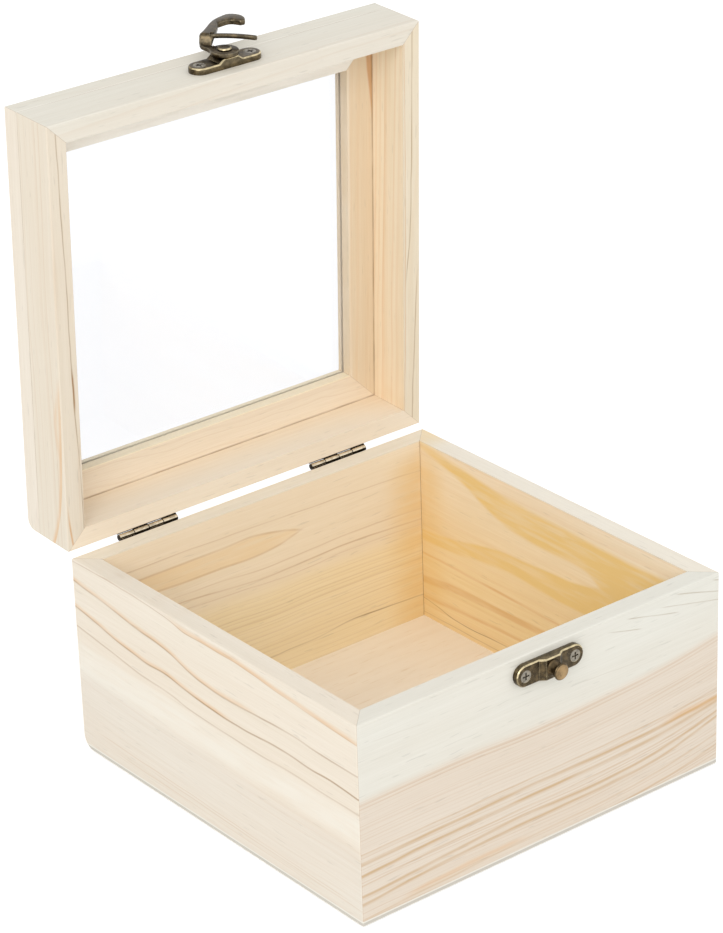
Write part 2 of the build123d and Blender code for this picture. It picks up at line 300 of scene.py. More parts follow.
def build_pine_grain():
    """Growth rings round a leaning pith, cut by the board, with fibres and pores.

    The board vector has its X along the grain, Y across the face and Z out of it.
    """
    given, result = effect_group("Pine grain", dict(
        board=VECTOR, seed=0.0, pith=VECTOR, lean=VECTOR, ring_width=0.004, phase=0.0, uneven=1.0,
        wave=0.002, wave_length=0.08, sweep=0.0, line_share=0.4, line_depth=0.6, faint_lines=0.2,
        heart_from=0.04, heart_to=0.05, sapwood=COLOUR, heartwood=COLOUR, late_wood=COLOUR,
        rim_level=1.0, rim_wood=COLOUR, fibre=0.5, mottle=0.5,
    ), dict(color=COLOUR, roughness=0.5, height=0.0))
    board = given["Board"]
    tree = board.tree
    place = board + given["Seed"] * (0.37, 0.11, 0.23)

    # Long waves in the rings, and a finer wobble on them.
    middle = (0.5, 0.5, 0.5)
    along = 1.0 / given["Wave length"]
    across = along * 1.6
    stretch = tree.nodes.new("ShaderNodeCombineXYZ")
    for axis, value in zip("XYZ", (along, across, across)):
        feed(value, stretch.inputs[axis])
    bend = noise(place, Flow(stretch.outputs[0]), detail=1.5, roughness=0.35, output="Color")
    wobble = noise(place, (60.0, 160.0, 160.0), detail=1.0, output="Color")
    bend = (bend - middle + (wobble - middle) * 0.07) * (given["Wave"] * 4.0)

    # Distance from the pith, which leans as it goes along the board.
    lean = given["Lean"] * split_vector(board)["X"]
    spot = board - given["Pith"] - lean + bend - given["Sweep"] * (0.0, 1.0, 0.0)
    radius = maths("LENGTH", spot * (0.0, 1.0, 1.0))

    ring = radius / given["Ring width"]
    years = tree.nodes.new("ShaderNodeTexNoise")
    years.noise_dimensions = "1D"
    years.inputs["Scale"].default_value = 0.6
    years.inputs["Detail"].default_value = 1.0
    feed(ring + given["Seed"], years.inputs["W"])
    ring = ring + (Flow(years.outputs["Fac"]) - 0.5) * given["Uneven"] + given["Phase"]
    within = maths("FRACT", ring)
    year = tree.nodes.new("ShaderNodeTexWhiteNoise")
    year.noise_dimensions = "1D"
    feed(maths("FLOOR", ring) + given["Seed"], year.inputs["W"])
    luck = Flow(year.outputs["Value"])

    # Late wood darkens slowly through the season and stops sharply at the winter line.
    rise = step_between(within, 0.95 - given["Line share"] * (luck + 0.6), WINTER)
    line = maths("POWER", rise, 1.4) * step_between(within, WINTER, 1.0, 1.0, 0.0)
    heart = step_between(radius, given["Heart from"], given["Heart to"])
    shown = given["Faint lines"] + heart * (1.0 - given["Faint lines"])
    fade = step_between(noise(place, (9.0, 60.0, 60.0)), 0.3, 0.6, 0.55, 1.0)
    line = line * step_between(luck, 0.0, 1.0, 0.35, 1.0) * shown * fade
    line = (line * given["Line depth"]).clamped()

    # Fine fibres, broad clouds and a few short dark pores.
    fibres = noise(place, (55.0, 2300.0, 2300.0), detail=2.0)
    streaks = noise(place, (10.0, 520.0, 520.0), detail=1.0)
    clouds = noise(place, (9.0, 45.0, 45.0), detail=1.0)
    pores = step_between(noise(place, (160.0, 1500.0, 1500.0), detail=0.0), 0.74, 0.84)
    tone = (fibres * 0.6 + streaks * 0.4 - 0.5) * given["Fibre"]
    cloud = (clouds - 0.5) * given["Mottle"]

    colour = blend_colours(heart, given["Sapwood"], given["Heartwood"])
    colour = blend_colours(((cloud + 0.1) * 0.7).clamped(), colour, given["Late wood"])
    rim = step_between(split_vector(board)["Y"], given["Rim level"] - RIM_BEGINS,
                       given["Rim level"] - RIM_FULL)
    colour = blend_colours(rim, colour, given["Rim wood"])
    line = line * (rim * -0.6 + 1.0)
    colour = blend_colours(line, colour, given["Late wood"])
    hue = tree.nodes.new("ShaderNodeHueSaturation")
    feed(colour, hue.inputs["Color"])
    feed(tone * 0.55 + cloud * 0.12 - pores * 0.10 + 1.0, hue.inputs["Value"])
    feed(1.0 - tone * 1.2, hue.inputs["Saturation"])
    feed(Flow(hue.outputs["Color"]), result["Color"])
    feed(tone * 0.3 - line * 0.12 + 0.62, result["Roughness"])
    feed(fibres * 0.5 + line * 0.6 - pores, result["Height"])


def build_grain_and_light_band():
    """One dark or pale band between two heights, soft at its sides and ends. Most bands are growth;
    some are painted shade and some painted light.

    Direction says which way the heights are counted: across the board's face, into it or along
    it. The band fades out just below Under, so that it doesn't reach a sanded rim.
    """
    given, result = effect_group("Grain and light band", dict(
        board=VECTOR, direction=VECTOR, lower=0.0, upper=0.0, soft_below=0.0004,
        soft_above=0.0004, start=-0.08, end=0.08, fade=0.012, under=1.0, strength=0.5,
    ), dict(mask=0.0))
    board = given["Board"]
    place = split_vector(board)
    wander = noise(board, (60.0, 90.0, 90.0), detail=1.0)
    height = maths("DOT_PRODUCT", board, given["Direction"]) + (wander - 0.5) * BAND_WANDER
    patchy = noise(board, (45.0, 400.0, 400.0), detail=2.0)
    mask = given["Strength"] * step_between(patchy, 0.25, 0.65, 0.50, 1.1)
    for value, start, end in (
            (height, given["Lower"] - given["Soft below"], given["Lower"]),
            (height, given["Upper"] + given["Soft above"], given["Upper"]),
            (place["X"], given["Start"], given["Start"] + given["Fade"]),
            (place["X"], given["End"], given["End"] - given["Fade"]),
            (place["Y"], given["Under"], given["Under"] - BAND_CLEARS_RIM)):
        mask = mask * step_between(value, start, end)
    feed(mask.clamped(), result["Mask"])


def build_seams_and_corner_shade():
    """Hairlines along a board's two mitres and along the line where it is glued to another.

    Inward points from a board's outer edge into the corner. Joint level is how high on the
    board the glued line runs, and it shows only on faces whose Z is under Joint under. Corner
    widens and darkens the mitre line where two inner faces meet, as painted shade in that
    inner corner.
    """
    given, result = effect_group("Board seams and corner shade", dict(
        board=VECTOR, inward=VECTOR, half_length=0.075, half_width=0.0036, joint_level=1.0,
        joint_under=1.0, seam_width=0.0003, corner=0.0,
    ), dict(mask=0.0))
    board, seam_width = given["Board"], given["Seam width"]
    place = split_vector(board)
    inside = maths("DOT_PRODUCT", board, given["Inward"]) + given["Half width"]
    mitre = maths("ABSOLUTE", given["Half length"] - maths("ABSOLUTE", place["X"]) - inside)
    joint = maths("ABSOLUTE", place["Y"] - given["Joint level"])
    uneven = noise(board, (70.0, 30.0, 30.0), detail=1.0)
    joint = (step_between(joint, seam_width * 2.2, 0.0) * step_between(uneven, 0.35, 0.6, 0.7, 1.5)
             * maths("LESS_THAN", place["Z"], given["Joint under"]))
    corner = maths("GREATER_THAN", inside, given["Half width"] * 2.0 - 0.0002) * given["Corner"]
    mitre = step_between(mitre, seam_width, corner * 0.5 * seam_width) * (corner + 1.0)
    feed(maths("MAXIMUM", mitre, joint), result["Mask"])


def build_aged_bronze():
    """Brown patina on metal, rubbed to brass where the worn mask says, and dark in the hollows. The
    worn mask also marks painted highlights, which take the same brass.
    """
    given, result = effect_group("Aged bronze", dict(
        position=VECTOR, worn=0.0, wear=0.8, dark=COLOUR, warm=COLOUR, brass=COLOUR,
    ), dict(color=COLOUR, roughness=0.5, height=0.0))
    cloud = noise(given["Position"], 520.0, detail=3.0, roughness=0.6)
    grit = noise(given["Position"], 3000.0, detail=2.0)
    rub = given["Worn"] * given["Wear"] * step_between(cloud, 0.30, 0.60, 0.55, 1.0)
    rub = rub.clamped()
    colour = blend_colours(step_between(cloud, 0.40, 0.75, 0.0, 0.8), given["Dark"], given["Warm"])
    colour = blend_colours(step_between(grit, 0.60, 0.80, 0.0, 0.25), colour, given["Brass"])
    feed(blend_colours(rub, colour, given["Brass"]), result["Color"])
    feed(cloud * 0.22 - rub * 0.10 + 0.22, result["Roughness"])
    feed(cloud * 0.7 + grit * 0.3, result["Height"])


# ---------------------------------------------------------------- materials
def new_material(name):
    material = bpy.data.materials.new(name)
    material.use_nodes = True
    tree = material.node_tree
    tree.nodes.clear()
    shader = tree.nodes.new("ShaderNodeBsdfPrincipled")
    output = tree.nodes.new("ShaderNodeOutputMaterial")
    tree.links.new(shader.outputs["BSDF"], output.inputs["Surface"])
    return material, tree, shader


def show_surface(tree, surface):
    """Joins another surface to a material's output in place of the one it had."""
    output = next(node for node in tree.nodes if node.type == "OUTPUT_MATERIAL")
    tree.links.new(surface, output.inputs["Surface"])


def object_position(tree):
    return Flow(tree.nodes.new("ShaderNodeTexCoord").outputs["Object"])


RELIEF_DEPTH = 0.0001
WOOD_SHINE = 0.35


def finish_surface(shader, colour, roughness, height, strength):
    """Feeds a colour, a roughness and a shallow relief to a shader."""
    feed(colour, shader.inputs["Base Color"])
    feed(roughness, shader.inputs["Roughness"])
    bump = height.tree.nodes.new("ShaderNodeBump")
    bump.inputs["Strength"].default_value = strength
    bump.inputs["Distance"].default_value = RELIEF_DEPTH
    feed(height, bump.inputs["Height"])
    feed(Flow(bump.outputs["Normal"]), shader.inputs["Normal"])


def board_position(tree, centre, along, across):
    """Object coordinates turned so that X runs along the board, Y across it and Z out of it."""
    mapping = tree.nodes.new("ShaderNodeMapping")
    mapping.vector_type = "TEXTURE"
    mapping.inputs["Location"].default_value = centre
    turn = Matrix((along, across, along.cross(across))).transposed()
    mapping.inputs["Rotation"].default_value = turn.to_euler()
    feed(object_position(tree), mapping.inputs["Vector"])
    return Flow(mapping.outputs["Vector"])


CURVE_LENGTH = 160          # millimetres along a board, and across it, that a curve spans
CURVE_HEIGHT = 80


def height_along(tree, board, path):
    """A height that follows the board through points given in millimetres."""
    if len(path) == 1:
        return path[0][1] / 1000
    curve = tree.nodes.new("ShaderNodeFloatCurve")
    points = curve.mapping.curves[0].points
    while len(points) < len(path):
        points.new(0.5, 0.5)
    for point, (along, height) in zip(points, path):
        point.location = (along / CURVE_LENGTH + 0.5, height / CURVE_HEIGHT + 0.5)
    curve.mapping.update()
    feed(split_vector(board)["X"] * (1000 / CURVE_LENGTH) + 0.5, curve.inputs["Value"])
    return (Flow(curve.outputs["Value"]) - 0.5) * (CURVE_HEIGHT / 1000)


def lay_bands(tree, board, colour, bands):
    """Lays a board's strongest growth bands over its colour, one after another, and with them its
    bands of painted shade and painted light.
    """
    for path, upper, wood, values in bands:
        lower = height_along(tree, board, path)
        mask = place_effect(tree, "Grain and light band", board=board, lower=lower,
                            upper=height_along(tree, board, upper) if upper else lower, **values)
        colour = blend_colours(mask["Mask"], colour, linear(wood))
    return colour


def pine_material(node, along, across, grain, bands, **seams):
    """Pine for one board. Seams is what the seams effect needs to know about its neighbours."""
    pine = bpy.context.scene.pine_settings
    low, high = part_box(node)
    material, tree, shader = new_material(node.replace("_", " ") + " pine")
    board = board_position(tree, (low + high) / 2, along, across)
    grain = {"rim_wood": pine.rim, **grain}
    for key in ("sapwood", "heartwood", "late_wood", "rim_wood"):
        grain[key] = linear(grain[key])
    grain["sweep"] = height_along(tree, board, grain["sweep"])
    wood = place_effect(tree, "Pine grain", board=board, fibre=pine.fibre, mottle=pine.mottle,
                        **grain)
    seam = place_effect(tree, "Board seams and corner shade", board=board, half_length=CASE_HALF,
                        seam_width=pine.seam_width, **seams)
    colour = lay_bands(tree, board, wood["Color"], bands)
    # Mitre and glue hairlines, wider and darker in the base's inner corners as painted shade.
    colour = blend_colours((seam["Mask"] * 0.5).clamped(), colour, linear(pine.seam))
    finish_surface(shader, colour, wood["Roughness"], wood["Height"], pine.bump)
    shader.inputs["Specular IOR Level"].default_value = WOOD_SHINE
    return material


def dress(node, material):
    """Puts a finish on a carried-over part of the case."""
    for slot in frame["nodes"][node].material_slots:
        slot.material = material


def size_along(node, direction):
    """How far a part of the case reaches in one direction."""
    low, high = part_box(node)
    return abs((high - low).dot(direction))


def dress_boards(boards, **seams):
    """Gives each board of a mitred set its own pine, all with the same seams."""
    for node, (along, across, grain, bands) in boards.items():
        dress(node, pine_material(node, along, across, grain, bands, **seams))


# ---------------------------------------------------------------- the boards' grain
# Sizes are in metres on the board's own directions, and Pith is where the heart of the log
# lay. Bands are the strongest growth lines, and a few painted shades and lights, in millimetres:
# X along the board, then the height across it, or into it where a direction is given.
CREAM = (0.918, 0.912, 0.872)
PALE = (0.948, 0.915, 0.860)
BEIGE = (0.907, 0.864, 0.805)
STRAW = (0.985, 0.925, 0.820)
AMBER = (0.955, 0.820, 0.590)
GOLD = (0.952, 0.822, 0.550)
LINE = (0.78, 0.63, 0.46)
TAN_LINE = (0.80, 0.66, 0.47)
BROWN_LINE = (0.62, 0.47, 0.28)
ORANGE_LINE = (0.88, 0.68, 0.42)
GREY_LINE = (0.74, 0.69, 0.61)
# Painted shade and warm bounced light, deepening two walls towards the back right inner corner.
CORNER_SHADE_AMBER = (0.945, 0.80, 0.52)
# Outer face of the right and back walls, paler than their inner faces.
# The inner faces' warmth is partly the pine's own and partly painted light bounced inside the box.
PALE_OUTER_FACE = (0.940, 0.905, 0.840)
BASE_RIM = 0.0344
OUT_OF_REACH = 1.0          # a level that no board comes up to
ACROSS = (0.0, 1.0, 0.0)
INTO = (0.0, 0.0, 1.0)
ALONG = (1.0, 0.0, 0.0)
USUAL_GRAIN = dict(
    pith=(0, 0.060, -0.020), lean=(0, 0.03, 0), ring_width=0.0035, phase=0.0, sweep=((0, 0),),
    uneven=1.5, wave=0.0010, wave_length=0.08, line_share=0.4, faint_lines=0.4,
    heart_from=0.080, heart_to=0.090, rim_level=OUT_OF_REACH, late_wood=LINE)


def board_grain(**own):
    """What most boards' grain has in common, with one board's own values in its place."""
    return {**USUAL_GRAIN, **own}


def band(path, soft, strength, wood, upper=None, shown=(-100, 100), fade=12, direction=ACROSS,
         under=OUT_OF_REACH):
    """A band of growth, painted shade or painted light along a path, or from it to an upper one.
    Only Under is in metres.
    """
    return path, upper, wood, dict(
        soft_below=soft[0] / 1000, soft_above=soft[1] / 1000, start=shown[0] / 1000,
        end=shown[1] / 1000, fade=fade / 1000, direction=direction, under=under,
        strength=strength)


def raised(path, step):
    return tuple((along, height + step) for along, height in path)


# The left wall's second and third dark lines, which glow orange just above.
SECOND_LINE = (
    (-80, 27.3), (-60, 25.1), (-40, 22.6), (-22, 20.8), (-10, 17.8), (0, 16.6), (12, 16.4),
    (25, 17), (38, 17.6), (55, 17), (80, 16.8))
THIRD_LINE = (
    (-80, 17.8), (-60, 14.8), (-48, 12.8), (-35, 11.6), (-25, 11.8), (-15, 10.6), (0, 9.4),
    (20, 9.1), (35, 10), (50, 9.6), (62, 9.7), (80, 8.2))
BASE_WALLS = {
    "base_front_wall": (RIGHT, UP, board_grain(
        seed=3.0, pith=(0, 0.200, 0), lean=(0, 0, 0), ring_width=0.00125,
        sweep=((-80, 0.3), (-40, 0.3), (0, -0.4), (30, 0.2), (52, 1.6), (80, 5.5)), uneven=1.2,
        wave=0.0005, wave_length=0.06, line_share=0.45, line_depth=0.42, faint_lines=0.0,
        heart_from=0.1900, heart_to=0.1942, sapwood=CREAM, heartwood=BEIGE), (
        band(((-80, -10.6), (0, -10.4), (40, -10), (80, -8.6)), (0.6, 0.5), 0.45, TAN_LINE),
        band(((-80, -14.1), (-40, -13.5), (0, -13), (40, -13), (60, -12.3), (80, -10.5)),
             (1.2, 0.9), 0.72, TAN_LINE),
        band(((-80, -18.4), (-40, -17), (0, -16.5), (40, -16), (60, -14.5), (80, -11.6)),
             (1.4, 0.9), 0.72, TAN_LINE),
        band(((-80, -22.1), (-40, -20.2), (0, -20), (40, -19), (60, -17), (80, -13)),
             (0.6, 0.5), 0.4, TAN_LINE),
        band(((-80, -25.8), (-40, -24), (-10, -22.6), (20, -23.2), (40, -22.3), (60, -19.5),
              (80, -15)), (1.1, 0.8), 0.65, TAN_LINE),
        band(((-80, -29), (-40, -26.2), (0, -25.5), (30, -25.3), (50, -24), (62, -21.5),
              (80, -17)), (1.1, 0.8), 0.65, TAN_LINE),
        band(((-60, -32.6), (-45, -31.2), (-12, -31)), (1.8, 1.4), 0.32, ORANGE_LINE,
             shown=(-62, -4)),
        band(((-80, -34), (0, -31.3), (40, -30), (80, -24)), (0.7, 0.5), 0.4, TAN_LINE),
        band(((10, -35), (50, -33), (80, -28)), (0.7, 0.5), 0.4, TAN_LINE),
        band(((55, -11.6), (80, -11.2)), (2.6, 1.8), 0.40, ORANGE_LINE, shown=(46, 100)),
        band(((20, 36), (57, 26.2), (70, 24)), (0.35, 0.35), 0.70, GREY_LINE, shown=(34, 58),
             fade=3),
        band(((40, 37.5), (75, 27.5)), (0.35, 0.35), 0.70, GREY_LINE, shown=(55, 90), fade=3),
        band(((10, 34), (48, 24)), (0.3, 0.3), 0.60, GREY_LINE, shown=(26, 42), fade=3),
        band(((55, 38), (80, 30)), (0.35, 0.35), 0.65, GREY_LINE, shown=(71, 90), fade=3),
        band(((40, 32.6), (75, 24.5)), (0.3, 0.3), 0.55, GREY_LINE, shown=(48, 90), fade=4),
        band(((0, 17), (50, 14)), (0.25, 0.25), 0.25, GREY_LINE, shown=(12, 44), fade=5),
        band(((-80, 28), (-40, 25)), (0.25, 0.25), 0.22, GREY_LINE, shown=(-72, -46), fade=5))),
    "base_left_wall": (FRONT, UP, board_grain(
        seed=7.0, pith=(0, 0.200, 0), lean=(0, -0.01, 0), ring_width=0.0030, phase=0.35,
        sweep=((-80, 5), (-40, 1), (0, -1), (35, -0.5), (80, -2)), uneven=1.0, wave=0.0015,
        wave_length=0.055, line_share=0.3, line_depth=0.10, faint_lines=0.6, heart_from=0.205,
        heart_to=0.212, sapwood=(0.942, 0.905, 0.842), heartwood=(0.922, 0.892, 0.840)), (
        band(((-80, 33.6), (-24, 33.4), (-12, 31.8), (0, 31.8), (20, 31.6), (40, 29.8),
              (60, 28.6), (80, 27.5)), (0.6, 2.2), 0.50, ORANGE_LINE, shown=(-24, 100)),
        band(((-80, 33.75), (-30, 33.6), (-20, 32.9), (-12, 31.6), (0, 31.6), (20, 31.4),
              (40, 29.6), (60, 28.4), (80, 27.3)), (0.4, 0.35), 0.50, BROWN_LINE,
             shown=(-100, 2)),
        band(((-20, 32.9), (-12, 31.6), (0, 31.6), (20, 31.4), (40, 29.6), (60, 28.4), (80, 27.3)),
             (0.4, 0.4), 0.26, BROWN_LINE, shown=(-10, 100)),
        band(raised(SECOND_LINE, 0.2), (0.5, 2.0), 0.42, ORANGE_LINE, shown=(-100, 26)),
        band(SECOND_LINE, (0.6, 0.5), 0.52, BROWN_LINE),
        band(raised(THIRD_LINE, 0.2), (0.5, 1.8), 0.46, ORANGE_LINE, shown=(-100, 14)),
        band(THIRD_LINE, (0.6, 0.5), 0.68, BROWN_LINE),
        band(((-80, 10.5), (-55, 7.7), (-40, 6), (-22, 5.3), (-12, 4), (5, 3.4), (20, 3.3),
              (40, 3.8), (60, 3.5), (80, 3.4)), (0.6, 0.5), 0.40, BROWN_LINE),
        band(((-80, -5), (80, -5.5)), (5, 5), 0.6, (0.955, 0.937, 0.890),
             upper=((-80, 1), (80, -1))),
        band(((-80, -27.2), (80, -30)), (0.3, 0.3), 0.30, LINE, shown=(-70, 72)),
        band(((-80, -28.4), (80, -31)), (0.3, 0.3), 0.30, LINE, shown=(-40, 80)),
        band(((-80, -30.5), (80, -32.5)), (0.3, 0.3), 0.22, LINE, shown=(-60, 60)))),
    "base_right_wall": (-FRONT, UP, board_grain(
        seed=11.0, pith=(0, 0.150, 0), lean=(0, 0, 0), ring_width=0.0045, phase=0.06, uneven=0.6,
        wave_length=0.06, line_share=0.5, line_depth=0.16, faint_lines=0.9, heart_from=0.110,
        heart_to=0.170, rim_level=BASE_RIM, sapwood=STRAW, heartwood=(0.980, 0.880, 0.685),
        late_wood=ORANGE_LINE), (
        band(((-80, 6), (-35, 10.5), (-27, 12.6), (-18, 16.6), (-5, 17), (10, 17.3), (20, 18.2),
              (33, 22), (45, 27), (60, 31), (80, 35.5)), (2.0, 2.6), 0.95, GOLD,
             upper=((-80, 26.5), (-45, 25.5), (-10, 26.3), (10, 26.6), (30, 28), (50, 30.8),
                    (67, 34), (80, 37)), under=0.0400),
        band(((-80, -0.5), (-15, 0), (0, 0), (20, 1), (30, 0.3), (40, -1), (50, -2.3), (67, -3.2),
              (80, -4)), (1.6, 1.6), 0.95, GOLD,
             upper=((-80, 20), (-35, 15), (-26, 11.6), (-15, 8.7), (0, 7.5), (20, 6.5), (30, 5.3),
                    (40, 3.3), (50, 1.3), (67, -0.6), (80, -1.5))),
        band(((-80, -10.4), (0, -10), (20, -9.6), (80, -8.8)), (1.0, 1.0), 0.55, ORANGE_LINE),
        band(((-80, -18), (0, -17.3), (30, -17.8), (50, -18.5), (80, -22)), (1.2, 1.2), 0.55,
             ORANGE_LINE, upper=((-80, -16), (30, -16.4), (50, -16.9), (80, -20.5))),
        band(((-80, -23), (0, -23.5), (30, -24.3), (50, -25.5), (80, -28)), (1.2, 1.4), 0.5,
             ORANGE_LINE),
        band(((10, -29), (30, -29.4), (50, -29.8), (62, -27.8), (80, -27)), (0.35, 0.35), 0.65,
             BROWN_LINE, shown=(12, 100)),
        # A dark line along the foot of the wall, just above the floor.
        band(((-80, -33), (80, -32.6)), (0.5, 0.35), 0.45, BROWN_LINE),
        # Painted shade: the wall deepens to amber towards the back right inner corner.
        band(((0, 64),), (12, 1), 0.45, CORNER_SHADE_AMBER, upper=((0, 80),), direction=ALONG,
             under=BASE_RIM),
        # Pale outer face; the warm inner face is partly own colour, partly painted bounced light.
        band(((0, 1.6),), (1.2, 1), 1.0, PALE_OUTER_FACE, upper=((0, 80),), direction=INTO,
             under=BASE_RIM))),
    "base_back_wall": (-RIGHT, UP, board_grain(
        seed=5.0, pith=(0, 0.120, 0), lean=(0, 0.01, 0), ring_width=0.0016, phase=0.2, uneven=1.2,
        wave_length=0.05, line_depth=0.30, faint_lines=0.15, heart_from=0.116, heart_to=0.124,
        rim_level=BASE_RIM, rim_wood=(0.943, 0.900, 0.822), sapwood=STRAW,
        heartwood=(0.996, 0.926, 0.772)), (
        band(((-80, 22), (-50, 23.8), (-20, 24.5), (10, 25.4), (55, 26), (80, 26)), (0.4, 0.4),
             0.36, (0.74, 0.57, 0.38)),
        band(((-14, 17.4), (-5, 15.2), (5, 14.2), (20, 14.4), (50, 15), (80, 15.6)), (0.8, 0.8),
             0.42, AMBER, shown=(-15, 100), fade=4,
             upper=((-14, 17.8), (-5, 20), (5, 21.6), (20, 21.4), (50, 21.5), (80, 22))),
        band(((-14, 17.6), (-10, 18.8), (-5, 20.2), (5, 21.8), (20, 21.6), (50, 21.7), (80, 22)),
             (0.7, 0.7), 0.38, LINE, shown=(-17, 100), fade=5),
        band(((-14, 17.4), (-10, 16.2), (-5, 15), (5, 14), (20, 14.3), (50, 15), (80, 15.5)),
             (0.7, 0.7), 0.38, LINE, shown=(-17, 100), fade=5),
        band(((-80, 7.4), (-50, 9), (-10, 8.5), (0, 8.1), (20, 9.4), (40, 10.2), (80, 11)),
             (0.4, 0.5), 0.30, (0.76, 0.60, 0.41)),
        band(((-80, 3.4), (-50, 5), (-35, 5.6), (-10, 5), (0, 4.6), (20, 6), (35, 7.3), (80, 9)),
             (0.5, 0.5), 0.42, (0.74, 0.57, 0.37)),
        band(((-80, 1.3), (-35, 3), (-10, 2.2), (20, 3.6), (80, 6)), (0.4, 0.4), 0.3, LINE),
        band(((-80, -26.8), (-50, -25), (-38, -24.6), (-20, -26), (10, -27), (80, -28)),
             (0.5, 0.4), 0.3, BROWN_LINE),
        band(((-80, -26.8), (-50, -25), (-38, -24.6), (-30, -25)), (0.4, 0.4), 0.5,
             BROWN_LINE, shown=(-100, -30)),
        # Painted shade: the wall deepens to amber towards the back right inner corner.
        band(((0, -80),), (1, 16), 0.52, CORNER_SHADE_AMBER, upper=((0, -64),), direction=ALONG,
             under=BASE_RIM),
        # Pale outer face; the warm inner face is partly own colour, partly painted bounced light.
        band(((0, 1.6),), (1.2, 1), 0.8, PALE_OUTER_FACE, upper=((0, 80),), direction=INTO,
             under=BASE_RIM))),
}
LID_RAILS = {
    "lid_front_rail": (-RIGHT, -LID_TOP, board_grain(
        seed=13.0, pith=(0, 0.050, -0.030), ring_width=0.0030, line_depth=0.16, faint_lines=0.3,
        heart_from=0.060, heart_to=0.050, sapwood=(0.915, 0.905, 0.860),
        heartwood=(0.925, 0.905, 0.855)), ()),
    "lid_left_rail": (-LID_FRONT, -LID_TOP, board_grain(
        seed=17.0, pith=(0, -0.060, -0.040), lean=(0, 0.02, 0), ring_width=0.0030, wave_length=0.09,
        line_depth=0.34, faint_lines=0.6, heart_from=0.050, heart_to=0.060, sapwood=PALE,
        heartwood=(0.920, 0.883, 0.815)), (
        band(((-80, 7.5), (25, 7.5), (40, 7.0), (55, 6.0), (66, 3.5), (80, -2)),
             (2.0, 0.6), 0.62, (0.89, 0.70, 0.48), shown=(10, 100)),
        band(((20, 5.8), (30, 4.8), (40, 5.8)), (1.4, 1.4), 0.50, (0.89, 0.70, 0.48),
             shown=(16, 44)),
        band(((-80, 0.6), (-25, -0.8), (13, -1.5), (24, -1.8), (45, -2.7), (80, -3.2)),
             (0.40, 0.35), 0.60, (0.62, 0.50, 0.34), direction=INTO),
        band(((10, -1.5), (24, -1.9)), (0.7, 0.6), 0.85, (0.60, 0.42, 0.20), direction=INTO,
             shown=(8, 27), fade=6),
        band(((55, 2.9), (66, 2.2), (80, 0.2)), (0.6, 0.5), 0.70, (0.84, 0.62, 0.38),
             direction=INTO, shown=(56, 100)))),
    "lid_right_rail": (LID_FRONT, -LID_TOP, board_grain(
        seed=19.0, pith=(0, 0.080, 0.020), ring_width=0.0034, uneven=1.2, wave=0.0012,
        wave_length=0.07, line_share=0.6, line_depth=0.42, faint_lines=0.9, heart_from=0.090,
        heart_to=0.060, rim_level=0.0083, rim_wood=(0.925, 0.872, 0.775), sapwood=STRAW,
        heartwood=(0.945, 0.858, 0.725), late_wood=ORANGE_LINE), (
        band(((-80, 0), (-45, 1), (-25, 2.1), (-13, 2.6)), (0.45, 0.40), 0.60,
             (0.66, 0.52, 0.35), direction=INTO, shown=(-100, -12)),
        band(((-25, -3), (-10, -1.6), (0, -0.7), (15, -0.2), (45, 0.1), (80, 0.5)), (0.40, 0.40),
             0.65, (0.66, 0.53, 0.35), direction=INTO, shown=(-22, 100)),
        band(((-80, -3.2), (25, -2.8), (80, -3.2)), (0.4, 0.3), 0.50, (0.82, 0.60, 0.36),
             direction=INTO))),
    "lid_back_rail": (RIGHT, -LID_TOP, board_grain(
        seed=23.0, wave=0.0012, wave_length=0.07, line_share=0.35, line_depth=0.14,
        heart_from=0.050, heart_to=0.080, sapwood=(0.975, 0.925, 0.845),
        heartwood=(0.970, 0.905, 0.805)), ()),
}
WINDOW_FRAME = {
    "window_frame_front": (RIGHT, -LID_FRONT, board_grain(
        seed=29.0, line_depth=0.18, sapwood=(0.915, 0.905, 0.860), heartwood=PALE), (
        # Painted light: the ledge lies in the rim's shade and is painted nearly white.
        band(((0, -80),), (1, 0.1), 1.0, (1.0, 0.985, 0.950), upper=((0, -3.3),),
             direction=INTO),)),
    "window_frame_left": (LID_FRONT, RIGHT, board_grain(
        seed=31.0, line_depth=0.22, sapwood=(0.940, 0.905, 0.845), heartwood=PALE), ()),
    "window_frame_right": (-LID_FRONT, -RIGHT, board_grain(
        seed=37.0, pith=(0, 0.060, 0.010), ring_width=0.0032, uneven=1.2, wave=0.0009,
        wave_length=0.09, line_share=0.6, line_depth=0.16, faint_lines=0.8, heart_from=0.050,
        heart_to=0.020, sapwood=(0.922, 0.856, 0.750), heartwood=(0.917, 0.846, 0.735),
        late_wood=ORANGE_LINE), (
        band(((-80, -3), (-30, -3)), (0.5, 1.0), 0.62, (0.80, 0.56, 0.30), shown=(-100, -30),
             upper=((-75, 1.4), (-60, 0.2), (-40, -1.8), (-30, -2.4))),
        # Painted light: a pale strip along the edge by the window opening, where shade falls.
        band(((-80, 8.6), (80, 8.6)), (1.0, 0.5), 0.6, (0.965, 0.915, 0.84)))),
    "window_frame_back": (-RIGHT, LID_FRONT, board_grain(
        seed=41.0, pith=(0, 0.060, -0.010), ring_width=0.0022, wave=0.0022, wave_length=0.030,
        line_share=0.45, line_depth=0.35, faint_lines=0.6, heart_from=0.030, heart_to=0.020,
        # Painted light: the edge face by the window opening, in shade, gets a paler rim wood.
        rim_level=0.009, rim_wood=(0.985, 0.930, 0.815), sapwood=(0.965, 0.905, 0.815),
        heartwood=(0.965, 0.905, 0.815)), ()),
}

